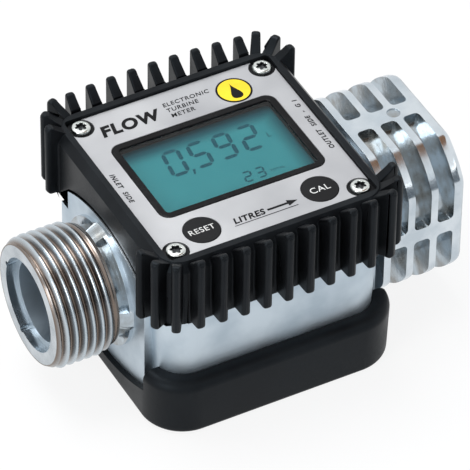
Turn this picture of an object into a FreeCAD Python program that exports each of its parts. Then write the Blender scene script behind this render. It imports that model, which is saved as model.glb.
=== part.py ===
"""Inline turbine flow meter: die-cast body, turbine set, battery display head, rubber covers.

Frame: millimetres, X along the flow from the male inlet to the female outlet, Z up through
the display, Y towards the top of the display. The origin is on the underside of the base
boot, straight below the middle of the body block.
"""
import FreeCAD, Part
import math
import os
from FreeCAD import Vector

# ---------------------------------------------------------------- pipe ends
AXIS_Z = 25.5              # flow axis above the surface that the meter stands on
INLET_END_X = -51.1        # open face of the male spigot
OUTLET_END_X = 56.1        # open face of the female collar
THREAD_MAJOR_R = 16.62     # one inch pipe thread, crest of the male side
THREAD_MINOR_R = 15.15     # one inch pipe thread, crest of the female side
INLET_THREAD_LENGTH = 16.6
OUTLET_THREAD_LENGTH = 19.5
THREAD_CHAMFER = 0.75

# ---------------------------------------------------------------- body block
BLOCK_HALF_X = 29.6
BLOCK_HALF_Y = 30.4
BLOCK_CORNER_R = 8.0
BLOCK_TOP_Z = 33.5
BLOCK_BOTTOM_Z = 3.0
BLOCK_DRAFT = 1.1          # how far each side draws in from top to bottom
BARREL_R = 16.3            # outside of the turbine barrel that crosses the block
PAD_X = 31.3               # machined pads at both ends
PAD_HALF_Y = 21.6
PAD_NECK_HALF_Y = 18.2     # the pad is narrower above the block
PAD_ARCH_RISE = 18.0       # pad top above the flow axis
PAD_ARCH_R = 40.0
BARREL_END_X = 32.3

# ---------------------------------------------------------------- inlet neck
NECK_R = 14.0
NECK_WEB_HALF = 2.6
WEB_ANGLES = (0, 90, 180, 270)

# ---------------------------------------------------------------- outlet collar
COLLAR_HALF = 21.2         # from the flow axis to each of the four flats
COLLAR_ROUND_R = 24.4      # the round between the flats, about the flow axis
COLLAR_BLEND_R = 5.0       # where a flat runs into the round
COLLAR_FLOOR_R = 18.6
COLLAR_NECK_R = 17.4       # between the barrel and the first rib
COLLAR_START_X = 33.9
RIB_PITCH = 6.3
RIB_WIDTH = 1.9
RIB_COUNT = 3
FLANGE_EDGE_R = 2.0
TOP_WEB_HALF = 2.4
SIDE_WEB_HALF = 1.9
POCKET_CORNER_R = 1.2
EJECTOR_MARK_R = 1.7
EJECTOR_MARK_DEPTH = 0.3

# ---------------------------------------------------------------- bore and turbine set
CHAMBER_R = 13.1
CHAMBER_START_X = -24.0
PASSAGE_R = 10.2
COUNTERBORE_R = 11.9
COUNTERBORE_DEPTH = 2.6
NOTCH_ANGLES = (-160, -70)
NOTCH_R = 0.8
INSERT_CLEARANCE = 0.06    # straightener sleeves in the chamber
INSERT_LENGTH = 15.0
SLEEVE_WALL = 1.2
HUB_R = 4.0
VANE_COUNT = 5
VANE_THICKNESS = 1.0
ROTOR_GAP = 2.0            # sleeve to rotor hub, at each side
ROTOR_LENGTH = 12.0
BLADE_TIP_R = 12.4
BLADE_COUNT = 8
BLADE_THICKNESS = 0.9
BLADE_TWIST = 42.0
SHAFT_R = 1.0
SHAFT_RUNNING_CLEARANCE = 0.05
BEARING_R = 2.4
BEARING_LENGTH = 4.0
BEARING_SEAT_CLEARANCE = 0.01
SHAFT_END_GAP = 0.3
MAGNET_R = 0.9
MAGNET_LENGTH = 3.0
MAGNET_CIRCLE_R = 2.45
RING_THICKNESS = 1.2
RING_GROOVE_DEPTH = 0.9
RING_BAND = 2.4

# ---------------------------------------------------------------- display head
PLATE_SIZE = 54.8
PLATE_THICKNESS = 0.5
PLATE_TOP_Z = 51.4
SCREW_OFFSET = 24.5        # housing screws from the middle, both ways
SCREW_SHANK_R = 1.5
SCREW_HEAD_R = 2.4
SCREW_HEAD_HEIGHT = 1.3
SCREW_LENGTH = 26.0
SCREW_CLEARANCE = 0.15
PLATE_NOTCH_R = 3.3
COLUMN_R = 2.5
HOUSING_HALF = 28.4
HOUSING_WALL = 1.8
HOUSING_TOP = 1.5
HOUSING_CORNER_R = 5.0
GASKET_THICKNESS = 0.5
WINDOW_X = 44.1
WINDOW_Y = 29.0
WINDOW_CENTRE_Y = 0.8
WINDOW_CORNER_R = 2.8
FRAME_BORDER = 1.9
FRAME_HEIGHT = 1.5
FRAME_PROUD = 0.15
LENS_THICKNESS = 1.1
LENS_DROP = 0.35
LCD_X = 43.0
LCD_Y = 28.0
LCD_THICKNESS = 2.0
LCD_GAP = 0.25             # glass to the underside of the housing top
HOLDER_WALL = 1.2
STRIP_X = 36.0
STRIP_Y = 2.0
BOARD_TOP_Z = 46.3
BOARD_THICKNESS = 1.0
BOARD_X = 50.0
BOARD_Y = 50.0
BOARD_SCREW_X = 7.0
BOARD_SCREW_Y = 23.6
BOARD_SCREW_R = 0.9
BOARD_SCREW_HEAD_R = 1.7
POST_R = 2.2
BUTTON_X = 15.7
BUTTON_Y = -20.7
BUTTON_R = 4.55
BUTTON_CLEARANCE = 0.08
BUTTON_FLANGE_R = 5.3
BUTTON_FLANGE = 0.8
BUTTON_PROUD = 0.1
BUTTON_TRAVEL = 0.5
STEM_R = 1.5
SWITCH_SIZE = 6.0
SWITCH_HEIGHT = 0.8
PLUNGER_R = 1.6
SENSOR_R = 1.1
SENSOR_LENGTH = 13.0

# ---------------------------------------------------------------- batteries
CELL_R = 5.25              # AAA cell
CELL_LENGTH = 43.4
CELL_NUB_R = 1.9
CELL_NUB = 0.9
CELL_Y = 18.0
CELL_CLEARANCE = 0.1
TRAY_FLOOR = 0.8
TRAY_RISE = 5.4
STRAP_WIDTH = 4.0
STRAP_X = 17.0
STRAP_THICKNESS = 0.9
BARREL_CLEARANCE = 0.3
CONTACT_THICKNESS = 0.4
CONTACT_WIDTH = 5.0

# ---------------------------------------------------------------- rubber shroud
SHROUD_CLEARANCE = 0.1
SHROUD_WALL = 2.3
RIM_TOP_Z = 52.2
RIM_FLAT = 1.6
RIM_CHAMFER_Z = 50.0
RIM_GAP = 0.2              # face plate edge to the rim
SHROUD_BOTTOM_Z = 33.6
SHROUD_CORNER_R = 7.0
SHROUD_EXTRA_Y = 0.2       # the long sides stand a little further out
END_OPENING_HALF_Y = 18.6
END_OPENING_RISE = 18.3
FIN_PITCH = 5.7
FIN_SIDE_COUNT = 9
FIN_THICKNESS = 2.2
FIN_ROOT_EXTRA = 0.5
FIN_TIP_Y = 36.0
FIN_BOW = 1.1              # the middle fins reach further than the end ones
FIN_TOP_Z = 54.8
FIN_BOTTOM_Z = 34.2
FIN_TOP_SLOPE = 0.56
FIN_TOP_ROUND = 1.2
FIN_FAN_ANGLES = (30, 60, 90)
FIN_FAN_REACH = 11.0
FIN_FAN_Y = 25.0
FRONT_FAN_SPREAD = 0.9      # the front corners fan out this much further along X

# ---------------------------------------------------------------- base boot
BOOT_HALF_X = 33.1
BOOT_HALF_Y = 34.1
BOOT_CORNER_R = 11.0
BOOT_DRAFT = 0.4
BOOT_TOP_Z = 16.1
BOOT_LIP_R = 2.6
BOOT_FOOT_R = 1.6
BOOT_END_DROP = 21.1       # low point of the end cut below the flow axis
BOOT_END_R = 53.0
BOOT_END_HALF_Y = 24.0
BOOT_CLEARANCE = 0.05
FOOT_RECESS = 0.8
FOOT_RECESS_HALF = 20.0

# ---------------------------------------------------------------- worked out once
HOUSING_TOP_Z = PLATE_TOP_Z - PLATE_THICKNESS
FLANGE_START_X = COLLAR_START_X + RIB_COUNT * RIB_PITCH
INSERT_END_X = CHAMBER_START_X + INSERT_LENGTH
ROTOR_START_X = INSERT_END_X + ROTOR_GAP
ROTOR_END_X = ROTOR_START_X + ROTOR_LENGTH
OUTLET_INSERT_X = ROTOR_END_X + ROTOR_GAP
RING_X = OUTLET_INSERT_X + INSERT_LENGTH
CELL_Z = BLOCK_TOP_Z + 0.1 + TRAY_FLOOR + CELL_R
SHROUD_INNER = HOUSING_HALF + SHROUD_CLEARANCE
SHROUD_OUTER_X = SHROUD_INNER + SHROUD_WALL
SHROUD_OUTER_Y = SHROUD_OUTER_X + SHROUD_EXTRA_Y
FIN_FAN_X = FIN_PITCH * (FIN_SIDE_COUNT - 1) / 2
X_DIR = Vector(1, 0, 0)
Y_DIR = Vector(0, 1, 0)
Z_DIR = Vector(0, 0, 1)
ORIGIN = Vector(0, 0, 0)
MIRROR_SIGNS = (-1, 1)


# ================================================================ shape helpers
def rounded_rectangle(half_x, half_y, radius, z, centre_y=0.0):
    """A closed wire: four sides joined by quarter arcs."""
    edges = []
    for quarter in range(4):
        turn = math.radians(90 * quarter)
        along = half_x if quarter % 2 == 0 else half_y
        across = half_y if quarter % 2 == 0 else half_x
        local = [(along - radius, -across), (along, -across + radius), (along, across - radius)]
        bend = (along - radius * (1 - math.sqrt(0.5)), -across + radius * (1 - math.sqrt(0.5)))
        start, end, stop = [turned(point, turn, z, centre_y) for point in local]
        edges.append(Part.Arc(start, turned(bend, turn, z, centre_y), end).toShape())
        edges.append(Part.makeLine(end, stop))
    return Part.Wire(Part.__sortEdges__(edges))


def turned(point, turn, z, centre_y):
    """A plan point turned about the middle of a rectangle."""
    x, y = point
    return Vector(x * math.cos(turn) - y * math.sin(turn),
                  x * math.sin(turn) + y * math.cos(turn) + centre_y, z)


def rounded_block(half_x, half_y, radius, low_z, high_z, centre_y=0.0):
    wire = rounded_rectangle(half_x, half_y, radius, low_z, centre_y)
    return Part.Face(wire).extrude(Vector(0, 0, high_z - low_z))


def drafted_block(half_x, half_y, radius, low_z, high_z, draft):
    """A rounded block that draws in evenly towards its bottom."""
    low = rounded_rectangle(half_x - draft, half_y - draft, radius - draft / 2, low_z)
    high = rounded_rectangle(half_x, half_y, radius, high_z)
    return Part.makeLoft([low, high], True, True)


def box(low, high):
    return Part.makeBox(high[0] - low[0], high[1] - low[1], high[2] - low[2], Vector(*low))


def along_x(radius, low_x, high_x, y=0.0, z=AXIS_Z):
    """A round bar parallel to the flow."""
    return Part.makeCylinder(radius, high_x - low_x, Vector(low_x, y, z), X_DIR)


def upright(radius, low_z, high_z, x=0.0, y=0.0):
    return Part.makeCylinder(radius, high_z - low_z, Vector(x, y, low_z), Z_DIR)


def turned_on_axis(points):
    """A solid of revolution about the flow axis from (x, radius) points."""
    corners = [Vector(x, 0, AXIS_Z + radius) for x, radius in points]
    face = Part.Face(Part.makePolygon(corners + [corners[0]]))
    return face.revolve(Vector(0, 0, AXIS_Z), X_DIR, 360)


def about_axis(shape, angle):
    copy = shape.copy()
    copy.rotate(Vector(0, 0, AXIS_Z), X_DIR, angle)
    return copy


def mirrored_x(shape):
    return shape.mirror(ORIGIN, X_DIR)


def mirrored_y(shape):
    return shape.mirror(ORIGIN, Y_DIR)


def corners_of(offset_x, offset_y):
    return [(sx * offset_x, sy * offset_y) for sx in MIRROR_SIGNS for sy in MIRROR_SIGNS]


def fuse_all(shapes):
    return shapes[0].multiFuse(shapes[1:]).removeSplitter()


def arch_under(low_x, high_x, half_y, low_z, rise, radius):
    """A slab across Y whose top is a shallow arch over the flow axis."""
    top_z = AXIS_Z + rise
    slab = box((low_x, -half_y, low_z), (high_x, half_y, top_z))
    return slab.common(along_x(radius, low_x, high_x, 0, top_z - radius))


# ================================================================ meter body
def collar_blank():
    """A round collar with four flats, blended into each other and eased at its open end."""
    reach = COLLAR_HALF
    square = box((COLLAR_START_X, -reach, AXIS_Z - reach), (OUTLET_END_X, reach, AXIS_Z + reach))
    blank = along_x(COLLAR_ROUND_R, COLLAR_START_X, OUTLET_END_X).common(square)
    blank = blank.makeFillet(COLLAR_BLEND_R, lengthwise_edges(blank))
    rim = [edge for edge in blank.Edges if edge.BoundBox.XMin > OUTLET_END_X - 0.01]
    return blank.makeFillet(FLANGE_EDGE_R, rim)


def lengthwise_edges(solid):
    return [edge for edge in solid.Edges
            if edge.BoundBox.XLength > 1 and edge.BoundBox.YLength + edge.BoundBox.ZLength < 0.01]


def collar_pockets():
    """Pockets between the collar's ribs, closed by a web every quarter turn."""
    pockets = []
    for index in range(RIB_COUNT):
        low_x = COLLAR_START_X + index * RIB_PITCH + RIB_WIDTH
        high_x = COLLAR_START_X + (index + 1) * RIB_PITCH
        outer_r = 1.3 * COLLAR_HALF
        ring = along_x(outer_r, low_x, high_x).cut(along_x(COLLAR_FLOOR_R, low_x, high_x))
        for angle in WEB_ANGLES:
            half = TOP_WEB_HALF if angle == 0 else SIDE_WEB_HALF
            web = box((low_x, -half, AXIS_Z), (high_x, half, AXIS_Z + outer_r))
            ring = ring.cut(about_axis(web, angle))
        pockets.append(ring.makeFillet(POCKET_CORNER_R, radial_edges(ring)))
    return pockets


def radial_edges(ring):
    """The straight edges of a pocket that run away from the flow axis."""
    found = []
    for edge in ring.Edges:
        start, end = edge.Vertexes[0].Point, edge.Vertexes[-1].Point
        straight = edge.Curve.TypeId == "Part::GeomLine"
        if straight and abs(start.x - end.x) < 1e-6:
            found.append(edge)
    return found


def outlet_collar():
    neck = along_x(COLLAR_NECK_R, BARREL_END_X - 1, COLLAR_START_X + 1)
    collar = collar_blank()
    for pocket in collar_pockets():
        collar = collar.cut(pocket)
    mark_x = FLANGE_START_X - RIB_PITCH + RIB_WIDTH / 2
    top_z = AXIS_Z + COLLAR_HALF
    mark = upright(EJECTOR_MARK_R, top_z - EJECTOR_MARK_DEPTH, top_z + 1, mark_x)
    return fuse_all([neck, collar]).cut(mark)


def inlet_spigot():
    end = INLET_END_X
    thread_stop = end + INLET_THREAD_LENGTH
    profile = [(end, 0), (end, THREAD_MAJOR_R - THREAD_CHAMFER),
               (end + THREAD_CHAMFER, THREAD_MAJOR_R), (thread_stop, THREAD_MAJOR_R),
               (thread_stop, NECK_R), (-BARREL_END_X + 1, NECK_R), (-BARREL_END_X + 1, 0)]
    spigot = turned_on_axis(profile)
    web = box((thread_stop - 0.5, -NECK_WEB_HALF, AXIS_Z),
              (-BARREL_END_X + 1, NECK_WEB_HALF, AXIS_Z + BARREL_R))
    rim = along_x(BARREL_R, thread_stop - 0.5, -BARREL_END_X + 1)
    webs = [about_axis(web, angle).common(rim) for angle in WEB_ANGLES]
    return fuse_all([spigot] + webs)


def flow_passage():
    """Everything that is hollow along the flow axis, from inlet to outlet."""
    thread_end = OUTLET_END_X - OUTLET_THREAD_LENGTH
    mouth_r = THREAD_MAJOR_R + 0.1
    profile = [(INLET_END_X - 1, 0), (INLET_END_X - 1, COUNTERBORE_R),
               (INLET_END_X + COUNTERBORE_DEPTH, COUNTERBORE_R),
               (INLET_END_X + COUNTERBORE_DEPTH, PASSAGE_R),
               (CHAMBER_START_X, PASSAGE_R), (CHAMBER_START_X, CHAMBER_R),
               (thread_end, CHAMBER_R), (thread_end, THREAD_MINOR_R),
               (OUTLET_END_X - mouth_r + THREAD_MINOR_R, THREAD_MINOR_R),
               (OUTLET_END_X, mouth_r), (OUTLET_END_X + 1, mouth_r), (OUTLET_END_X + 1, 0)]
    passage = turned_on_axis(profile)
    groove = along_x(CHAMBER_R + RING_GROOVE_DEPTH, RING_X, RING_X + RING_THICKNESS)
    notch = along_x(NOTCH_R, INLET_END_X - 1, INLET_END_X + COUNTERBORE_DEPTH, 0, AXIS_Z + COUNTERBORE_R)
    return fuse_all([passage, groove] + [about_axis(notch, angle) for angle in NOTCH_ANGLES])


def end_pad():
    """Flat pad at the outlet end of the block; the inlet one is its mirror image."""
    low_x = BLOCK_HALF_X - BLOCK_DRAFT - 2
    lower = box((low_x, -PAD_HALF_Y, BLOCK_BOTTOM_Z), (PAD_X, PAD_HALF_Y, BLOCK_TOP_Z))
    upper = arch_under(BLOCK_HALF_X - 0.4, PAD_X, PAD_NECK_HALF_Y, AXIS_Z, PAD_ARCH_RISE, PAD_ARCH_R)
    return lower.fuse(upper)


def screw_hole(x, y):
    depth = PLATE_TOP_Z - SCREW_LENGTH - 1.0
    return upright(SCREW_SHANK_R, depth, BLOCK_TOP_Z + 1, x, y)


def meter_body():
    block = drafted_block(BLOCK_HALF_X, BLOCK_HALF_Y, BLOCK_CORNER_R,
                          BLOCK_BOTTOM_Z, BLOCK_TOP_Z, BLOCK_DRAFT)
    pad = end_pad()
    barrel = along_x(BARREL_R, -BARREL_END_X, BARREL_END_X)
    body = fuse_all([block, pad, mirrored_x(pad), barrel, inlet_spigot(), outlet_collar()])
    body = body.cut(flow_passage())
    for x, y in corners_of(SCREW_OFFSET, SCREW_OFFSET):
        body = body.cut(screw_hole(x, y))
    return body


# ================================================================ turbine set
def straightener():
    """Sleeve, vanes and bearing hub of the inlet side, with its open end at +X."""
    low_x, high_x = CHAMBER_START_X, INSERT_END_X
    outer_r = CHAMBER_R - INSERT_CLEARANCE
    sleeve = along_x(outer_r, low_x, high_x).cut(along_x(outer_r - SLEEVE_WALL, low_x, high_x))
    nose = [(low_x + 0.8, 0), (low_x + 1.2, HUB_R * 0.45), (low_x + 2.4, HUB_R * 0.8),
            (low_x + 4.2, HUB_R), (high_x, HUB_R), (high_x, 0)]
    hub = turned_on_axis(nose)
    vane = box((low_x + 2.5, -VANE_THICKNESS / 2, AXIS_Z + 1),
               (high_x - 1, VANE_THICKNESS / 2, AXIS_Z + outer_r - SLEEVE_WALL / 2))
    vanes = [about_axis(vane, 360 * index / VANE_COUNT) for index in range(VANE_COUNT)]
    seat = along_x(BEARING_R + BEARING_SEAT_CLEARANCE, high_x - BEARING_LENGTH, high_x + 1)
    relief = along_x(SHAFT_R + 0.4, high_x - BEARING_LENGTH - 1, high_x)
    return fuse_all([sleeve, hub] + vanes).cut(seat).cut(relief)


def bearing():
    low_x, high_x = INSERT_END_X - BEARING_LENGTH, INSERT_END_X
    return along_x(BEARING_R, low_x, high_x).cut(along_x(SHAFT_R + SHAFT_RUNNING_CLEARANCE, low_x, high_x))


def outlet_side(shape):
    """The outlet half of the turbine set faces the inlet half across the rotor."""
    middle_x = (ROTOR_START_X + ROTOR_END_X) / 2
    return shape.mirror(Vector(middle_x, 0, 0), X_DIR)


def rotor_blade():
    """One helical blade: a radial strip that turns as it runs along the hub."""
    inset = 1.2
    low_x, high_x = ROTOR_START_X + inset, ROTOR_END_X - inset
    half = BLADE_THICKNESS / 2
    steps = 4
    sections = []
    for step in range(steps + 1):
        part = step / steps
        x = low_x + (high_x - low_x) * part
        strip = [Vector(x, -half, AXIS_Z + SHAFT_R + 1), Vector(x, half, AXIS_Z + SHAFT_R + 1),
                 Vector(x, half, AXIS_Z + BLADE_TIP_R + 1), Vector(x, -half, AXIS_Z + BLADE_TIP_R + 1)]
        sections.append(about_axis(Part.makePolygon(strip + [strip[0]]), BLADE_TWIST * (part - 0.5)))
    blade = Part.makeLoft(sections, True, True)
    return blade.common(along_x(BLADE_TIP_R, low_x, high_x))


def turbine_rotor():
    edge = 0.6
    profile = [(ROTOR_START_X, 0), (ROTOR_START_X, HUB_R - edge), (ROTOR_START_X + edge, HUB_R),
               (ROTOR_END_X - edge, HUB_R), (ROTOR_END_X, HUB_R - edge), (ROTOR_END_X, 0)]
    blade = rotor_blade()
    blades = [about_axis(blade, 360 * index / BLADE_COUNT) for index in range(BLADE_COUNT)]
    rotor = fuse_all([turned_on_axis(profile)] + blades)
    rotor = rotor.cut(along_x(SHAFT_R, ROTOR_START_X - 1, ROTOR_END_X + 1))
    for magnet in magnet_solids():
        rotor = rotor.cut(magnet)
    return rotor


def magnet_solids():
    """Two small magnets in the outlet face of the rotor hub."""
    low_x = ROTOR_END_X - MAGNET_LENGTH
    return [along_x(MAGNET_R, low_x, ROTOR_END_X, sign * MAGNET_CIRCLE_R) for sign in MIRROR_SIGNS]


def rotor_shaft():
    low_x = INSERT_END_X - BEARING_LENGTH - 1 + SHAFT_END_GAP
    high_x = OUTLET_INSERT_X + BEARING_LENGTH + 1 - SHAFT_END_GAP
    return along_x(SHAFT_R, low_x, high_x)


def retaining_ring():
    """Open circlip in the chamber groove, with two plier eyes beside its gap."""
    outer_r = CHAMBER_R + RING_GROOVE_DEPTH - 0.05
    low_x, high_x = RING_X, RING_X + RING_THICKNESS - 0.1
    ring = along_x(outer_r, low_x, high_x).cut(along_x(outer_r - RING_BAND, low_x, high_x))
    eye_y, eye_r, hole_r = 3.0, 1.7, 0.7
    eye_z = AXIS_Z - outer_r + RING_BAND + 0.2
    for sign in MIRROR_SIGNS:
        ring = ring.fuse(along_x(eye_r, low_x, high_x, sign * eye_y, eye_z))
    for sign in MIRROR_SIGNS:
        ring = ring.cut(along_x(hole_r, low_x, high_x, sign * eye_y, eye_z))
    ring = ring.common(along_x(outer_r, low_x, high_x))
    gap = box((low_x, -1.2, AXIS_Z - outer_r - 1), (high_x, 1.2, AXIS_Z - outer_r + 2 * RING_BAND))
    return ring.cut(gap).removeSplitter()


# ================================================================ display head
def body_top(offset):
    """The top of the metal body, raised by an offset: a flat deck and the barrel."""
    deck = box((-HOUSING_HALF - 5, -HOUSING_HALF - 5, 0),
               (HOUSING_HALF + 5, HOUSING_HALF + 5, BLOCK_TOP_Z + offset))
    return deck.fuse(along_x(BARREL_R + offset, -HOUSING_HALF - 5, HOUSING_HALF + 5))


def wall_band(low_z, high_z):
    """The plan of the housing wall as a tall ring."""
    outer = rounded_block(HOUSING_HALF, HOUSING_HALF, HOUSING_CORNER_R, low_z, high_z)
    inner_half = HOUSING_HALF - HOUSING_WALL
    inner_r = HOUSING_CORNER_R - HOUSING_WALL
    return outer.cut(rounded_block(inner_half, inner_half, inner_r, low_z, high_z))


def housing_gasket():
    """Seal under the housing wall; it runs over the deck and over the barrel."""
    seal = wall_band(BLOCK_TOP_Z, HOUSING_TOP_Z - 5).common(body_top(GASKET_THICKNESS))
    return seal.cut(body_top(0.0))


def window_cut(grow, low_z, high_z):
    return rounded_block(WINDOW_X / 2 + grow, WINDOW_Y / 2 + grow, WINDOW_CORNER_R + grow,
                         low_z, high_z, WINDOW_CENTRE_Y)


def display_housing():
    under_top = HOUSING_TOP_Z - HOUSING_TOP
    outer = rounded_block(HOUSING_HALF, HOUSING_HALF, HOUSING_CORNER_R, BLOCK_TOP_Z, HOUSING_TOP_Z)
    inner_half = HOUSING_HALF - HOUSING_WALL
    inner = rounded_block(inner_half, inner_half, HOUSING_CORNER_R - HOUSING_WALL, 0, under_top)
    shell = outer.cut(inner)
    columns = [upright(COLUMN_R, BLOCK_TOP_Z, under_top + 0.5, x, y)
               for x, y in corners_of(SCREW_OFFSET, SCREW_OFFSET)]
    posts = [upright(POST_R, BOARD_TOP_Z, under_top + 0.5, x, y)
             for x, y in corners_of(BOARD_SCREW_X, BOARD_SCREW_Y)]
    housing = fuse_all([shell] + columns + posts).cut(body_top(GASKET_THICKNESS))
    housing = housing.cut(window_cut(0.1, HOUSING_TOP_Z - FRAME_HEIGHT + FRAME_PROUD + PLATE_THICKNESS,
                                     HOUSING_TOP_Z + 1))
    housing = housing.cut(window_cut(-FRAME_BORDER + 0.3, 0, HOUSING_TOP_Z + 1))
    for sign in MIRROR_SIGNS:
        housing = housing.cut(upright(BUTTON_R + BUTTON_CLEARANCE, 0, HOUSING_TOP_Z + 1,
                                      sign * BUTTON_X, BUTTON_Y))
    for x, y in corners_of(SCREW_OFFSET, SCREW_OFFSET):
        housing = housing.cut(upright(SCREW_SHANK_R + SCREW_CLEARANCE, 0, HOUSING_TOP_Z + 1, x, y))
    for x, y in corners_of(BOARD_SCREW_X, BOARD_SCREW_Y):
        housing = housing.cut(upright(BOARD_SCREW_R, 0, under_top, x, y))
    return housing


def corner_notch(x, y):
    """Clearance round one housing screw, open towards the corner of the plate."""
    low_z, high_z = HOUSING_TOP_Z - 1, PLATE_TOP_Z + 1
    far_x, far_y = math.copysign(PLATE_SIZE, x), math.copysign(PLATE_SIZE, y)
    corner = box((min(x, far_x), min(y, far_y), low_z), (max(x, far_x), max(y, far_y), high_z))
    return upright(PLATE_NOTCH_R, low_z, high_z, x, y).fuse(corner)


def face_plate():
    """Thin metal plate with a window, two button holes and notched corners."""
    half = PLATE_SIZE / 2
    low_z, high_z = HOUSING_TOP_Z - 1, PLATE_TOP_Z + 1
    plate = box((-half, -half, HOUSING_TOP_Z), (half, half, PLATE_TOP_Z))
    cutters = [corner_notch(x, y) for x, y in corners_of(SCREW_OFFSET, SCREW_OFFSET)]
    cutters += [upright(BUTTON_R + BUTTON_CLEARANCE, low_z, high_z, sign * BUTTON_X, BUTTON_Y)
                for sign in MIRROR_SIGNS]
    return plate.cut(cutters + [window_cut(0.1, low_z, high_z)])


def window_frame():
    top_z = PLATE_TOP_Z + FRAME_PROUD
    outer = window_cut(0.0, top_z - FRAME_HEIGHT, top_z)
    return outer.cut(window_cut(-FRAME_BORDER, top_z - FRAME_HEIGHT, top_z))


def display_window():
    top_z = PLATE_TOP_Z + FRAME_PROUD - LENS_DROP
    return window_cut(-FRAME_BORDER - 0.05, top_z - LENS_THICKNESS, top_z)


def lcd_top_z():
    return HOUSING_TOP_Z - HOUSING_TOP - LCD_GAP


def lcd_block(grow, low_z, high_z):
    return box((-LCD_X / 2 - grow, WINDOW_CENTRE_Y - LCD_Y / 2 - grow, low_z),
               (LCD_X / 2 + grow, WINDOW_CENTRE_Y + LCD_Y / 2 + grow, high_z))


def lcd_module():
    return lcd_block(0, lcd_top_z() - LCD_THICKNESS, lcd_top_z())


def lcd_holder():
    """Frame that stands on the board and carries the glass on an inner ledge."""
    ledge = 1.0
    frame = lcd_block(HOLDER_WALL, BOARD_TOP_Z, lcd_top_z())
    frame = frame.cut(lcd_block(0.1, lcd_top_z() - LCD_THICKNESS, lcd_top_z()))
    frame = frame.cut(lcd_block(-ledge, BOARD_TOP_Z, lcd_top_z()))
    for sign in MIRROR_SIGNS:
        frame = frame.cut(strip_solid(sign, 0.1))
    return frame


def strip_solid(sign, grow):
    """One rubber connector strip along a long edge of the glass."""
    middle_y = WINDOW_CENTRE_Y + sign * (LCD_Y / 2 - 1.0 - STRIP_Y / 2)
    return box((-STRIP_X / 2 - grow, middle_y - STRIP_Y / 2 - grow, BOARD_TOP_Z),
               (STRIP_X / 2 + grow, middle_y + STRIP_Y / 2 + grow, lcd_top_z() - LCD_THICKNESS))


def connector_strips():
    return Part.makeCompound([strip_solid(sign, 0) for sign in MIRROR_SIGNS])


def circuit_board():
    low_z = BOARD_TOP_Z - BOARD_THICKNESS
    board = box((-BOARD_X / 2, -BOARD_Y / 2, low_z), (BOARD_X / 2, BOARD_Y / 2, BOARD_TOP_Z))
    for x, y in corners_of(SCREW_OFFSET, SCREW_OFFSET):
        board = board.cut(upright(COLUMN_R + 0.5, low_z, BOARD_TOP_Z, x, y))
    for x, y in corners_of(BOARD_SCREW_X, BOARD_SCREW_Y):
        board = board.cut(upright(BOARD_SCREW_R + 0.1, low_z, BOARD_TOP_Z, x, y))
    return board


def board_screws():
    """Four small screws that pull the board up against the housing posts."""
    low_z = BOARD_TOP_Z - BOARD_THICKNESS
    screws = []
    for x, y in corners_of(BOARD_SCREW_X, BOARD_SCREW_Y):
        head = upright(BOARD_SCREW_HEAD_R, low_z - 1.0, low_z, x, y)
        screws.append(head.fuse(upright(BOARD_SCREW_R, low_z, BOARD_TOP_Z + 2.2, x, y)))
    return Part.makeCompound(screws)


def pulse_sensor():
    """Glass reed capsule between the board and the barrel, above the rotor."""
    middle_x = (ROTOR_START_X + ROTOR_END_X) / 2
    half = SENSOR_LENGTH / 2
    z = BOARD_TOP_Z - BOARD_THICKNESS - SENSOR_R - 0.3
    capsule = along_x(SENSOR_R, middle_x - half, middle_x + half, 0, z)
    ends = [Part.makeSphere(SENSOR_R, Vector(middle_x + sign * half, 0, z)) for sign in MIRROR_SIGNS]
    return fuse_all([capsule] + ends)


def tact_switches():
    """Two low push switches on the board, one under each button."""
    switches = []
    for sign in MIRROR_SIGNS:
        half = SWITCH_SIZE / 2
        x = sign * BUTTON_X
        base = box((x - half, BUTTON_Y - half, BOARD_TOP_Z),
                   (x + half, BUTTON_Y + half, BOARD_TOP_Z + SWITCH_HEIGHT))
        plunger = upright(PLUNGER_R, BOARD_TOP_Z, BOARD_TOP_Z + SWITCH_HEIGHT + 0.3, x, BUTTON_Y)
        switches.append(base.fuse(plunger))
    return Part.makeCompound(switches)


def push_button(sign):
    """Cap, retaining flange and stem; the flange rests under the housing top."""
    x = sign * BUTTON_X
    flange_top = HOUSING_TOP_Z - HOUSING_TOP - 0.05
    stem_end = BOARD_TOP_Z + SWITCH_HEIGHT + 0.3 + BUTTON_TRAVEL + 0.1
    cap = upright(BUTTON_R, flange_top - BUTTON_FLANGE, PLATE_TOP_Z + BUTTON_PROUD, x, BUTTON_Y)
    top_edge = [edge for edge in cap.Edges
                if edge.BoundBox.ZMin > PLATE_TOP_Z and edge.BoundBox.XLength > BUTTON_R]
    cap = cap.makeFillet(0.3, top_edge)
    flange = upright(BUTTON_FLANGE_R, flange_top - BUTTON_FLANGE, flange_top, x, BUTTON_Y)
    stem = upright(STEM_R, stem_end, flange_top, x, BUTTON_Y)
    return fuse_all([cap, flange, stem])


def housing_screws():
    """Four long screws that clamp the head onto the metal body."""
    screws = []
    for x, y in corners_of(SCREW_OFFSET, SCREW_OFFSET):
        head = upright(SCREW_HEAD_R, HOUSING_TOP_Z, HOUSING_TOP_Z + SCREW_HEAD_HEIGHT, x, y)
        top_edge = [edge for edge in head.Edges if edge.BoundBox.ZMin > PLATE_TOP_Z]
        head = head.makeFillet(0.5, [edge for edge in top_edge if edge.BoundBox.XLength > 1])
        shank = upright(SCREW_SHANK_R, PLATE_TOP_Z - SCREW_LENGTH, HOUSING_TOP_Z, x, y)
        screws.append(head.fuse(shank))
    return Part.makeCompound(screws)


# ================================================================ batteries
def battery(sign):
    half = CELL_LENGTH / 2
    can = along_x(CELL_R, -half, half, sign * CELL_Y, CELL_Z)
    nub_low = half if sign > 0 else -half - CELL_NUB
    return can.fuse(along_x(CELL_NUB_R, nub_low, nub_low + CELL_NUB, sign * CELL_Y, CELL_Z))


def tray_end_x():
    return CELL_LENGTH / 2 + CELL_NUB


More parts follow.
